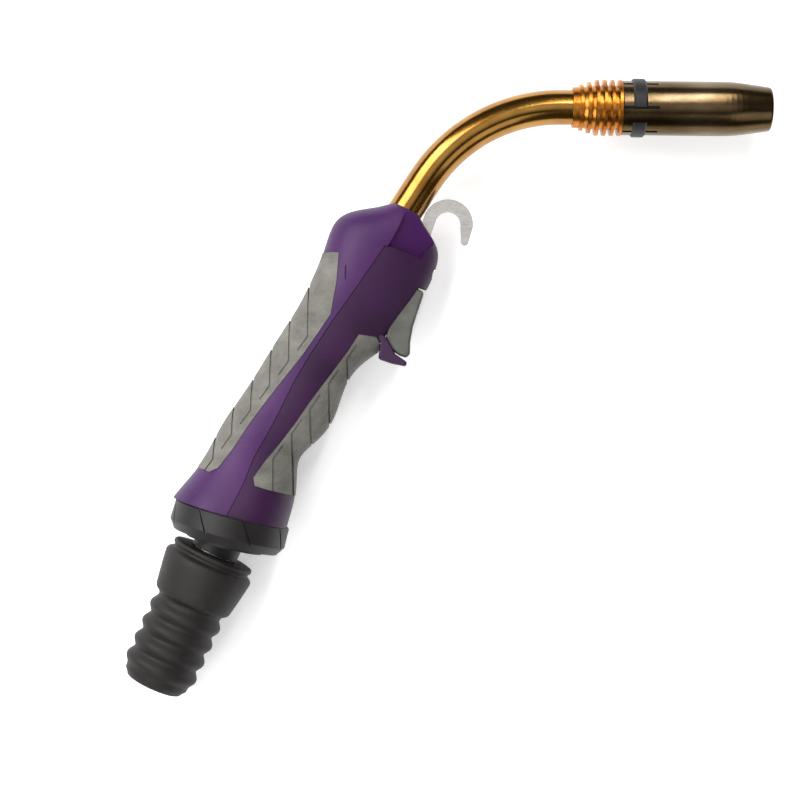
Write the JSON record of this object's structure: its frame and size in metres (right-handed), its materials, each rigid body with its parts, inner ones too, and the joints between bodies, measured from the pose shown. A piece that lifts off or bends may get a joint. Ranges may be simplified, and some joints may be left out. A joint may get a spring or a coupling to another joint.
{
  "type": "welding torch",
  "caption": "Gas-cooled MIG welding torch with a two-shell handle, trigger, hanging hook, swan neck, gas nozzle and a ball-jointed hose boot.",
  "frame": {"origin": "middle of the box that the torch fills, at its lowest point, with the torch lying on its side", "axes": "+Z square to the plane of the handle and neck, +X towards the nozzle along the front stretch, +Y the way the handle rises to the neck"},
  "size_m": [0.2982, 0.2858, 0.0546],
  "materials": {
    "purple_abs": "fine-textured injection moulded",
    "grey_grip": "soft overmoulded elastomer",
    "grey_nylon": "moulded",
    "black_nylon": "moulded, slightly glossy",
    "boot_rubber": "moulded rubber",
    "bright_steel": "bright zinc plated",
    "gold_brass": "polished, lacquered",
    "copper_brass": "turned",
    "yellow_brass": "turned",
    "copper": "drawn copper",
    "liner_steel": "wound spring steel",
    "nickel_plate": "nickel plated",
    "black_phenolic": "moulded",
    "white_ceramic": "moulded",
    "red_plastic": "moulded",
    "silver_terminal": "tinned"
  },
  "bodies": {
    "hose_end": {"boot": "boot_rubber", "boot_sleeve": "bright_steel", "sleeve_nut": "bright_steel"},
    "ball": {"ball": "black_nylon"},
    "seat": {"ball_seat": "black_nylon"},
    "trigger": {"trigger": "grey_nylon"},
    "plunger": {"switch_plunger": "red_plastic"},
    "nozzle": {"gas_nozzle": "nickel_plate", "nozzle_ring": "black_phenolic"},
    "handle": {"neck_tube": "gold_brass", "neck_insulation": "black_phenolic", "neck_conductor": "copper", "wire_liner": "liner_steel", "union_nut": "gold_brass", "hose_nipple": "gold_brass", "torch_head": "copper_brass", "nozzle_insulator": "black_phenolic", "gas_diffuser": "white_ceramic", "tip_holder": "yellow_brass", "contact_tip": "copper", "upper_shell": "purple_abs", "lower_shell": "purple_abs", "trigger_pin": "bright_steel", "hook": "bright_steel", "shell_screw": "bright_steel", "upper_grip": "grey_grip", "lower_grip": "grey_grip", "neck_clamp": "black_nylon", "switch_case": "black_nylon", "switch_terminals": "silver_terminal", "trigger_spring": "bright_steel", "collar": "black_nylon"}
  },
  "joints": [
    {"name": "hose_twist", "type": "hinge", "parent": "hose_end", "child": "ball", "pos_m": [-0.09954, -0.05874, 0.0273], "axis": [0.421, 0.907, 0], "continuous": true},
    {"name": "ball_swing", "type": "hinge", "parent": "ball", "child": "seat", "pos_m": [-0.09954, -0.05874, 0.0273], "axis": [0, 0, 1], "range_deg": [-20.5, 2]},
    {"name": "handle_twist", "type": "hinge", "parent": "seat", "child": "handle", "pos_m": [-0.09954, -0.05874, 0.0273], "axis": [0.2672, 0.9636, 0], "continuous": true},
    {"name": "trigger_press", "type": "hinge", "parent": "handle", "child": "trigger", "pos_m": [-0.02028, 0.04285, 0.0273], "axis": [0, 0, -1], "range_deg": [0, 6.5], "stiffness_Nm_per_rad": 0.6, "springref_deg": -6.88, "deforming": ["trigger_spring"]},
    {"name": "plunger_press", "type": "slide", "parent": "handle", "child": "plunger", "axis": [-0.891, 0.454, 0], "range_m": [0, 0.0026]},
    {"name": "nozzle_pull", "type": "slide", "parent": "handle", "child": "nozzle", "axis": [0.9999, -0.0105, 0], "range_m": [0, 0.08]}
  ],
  "couplings": [
    {"joint": "plunger_press", "follows": "trigger_press", "m_per_rad": 0.0215}
  ]
}
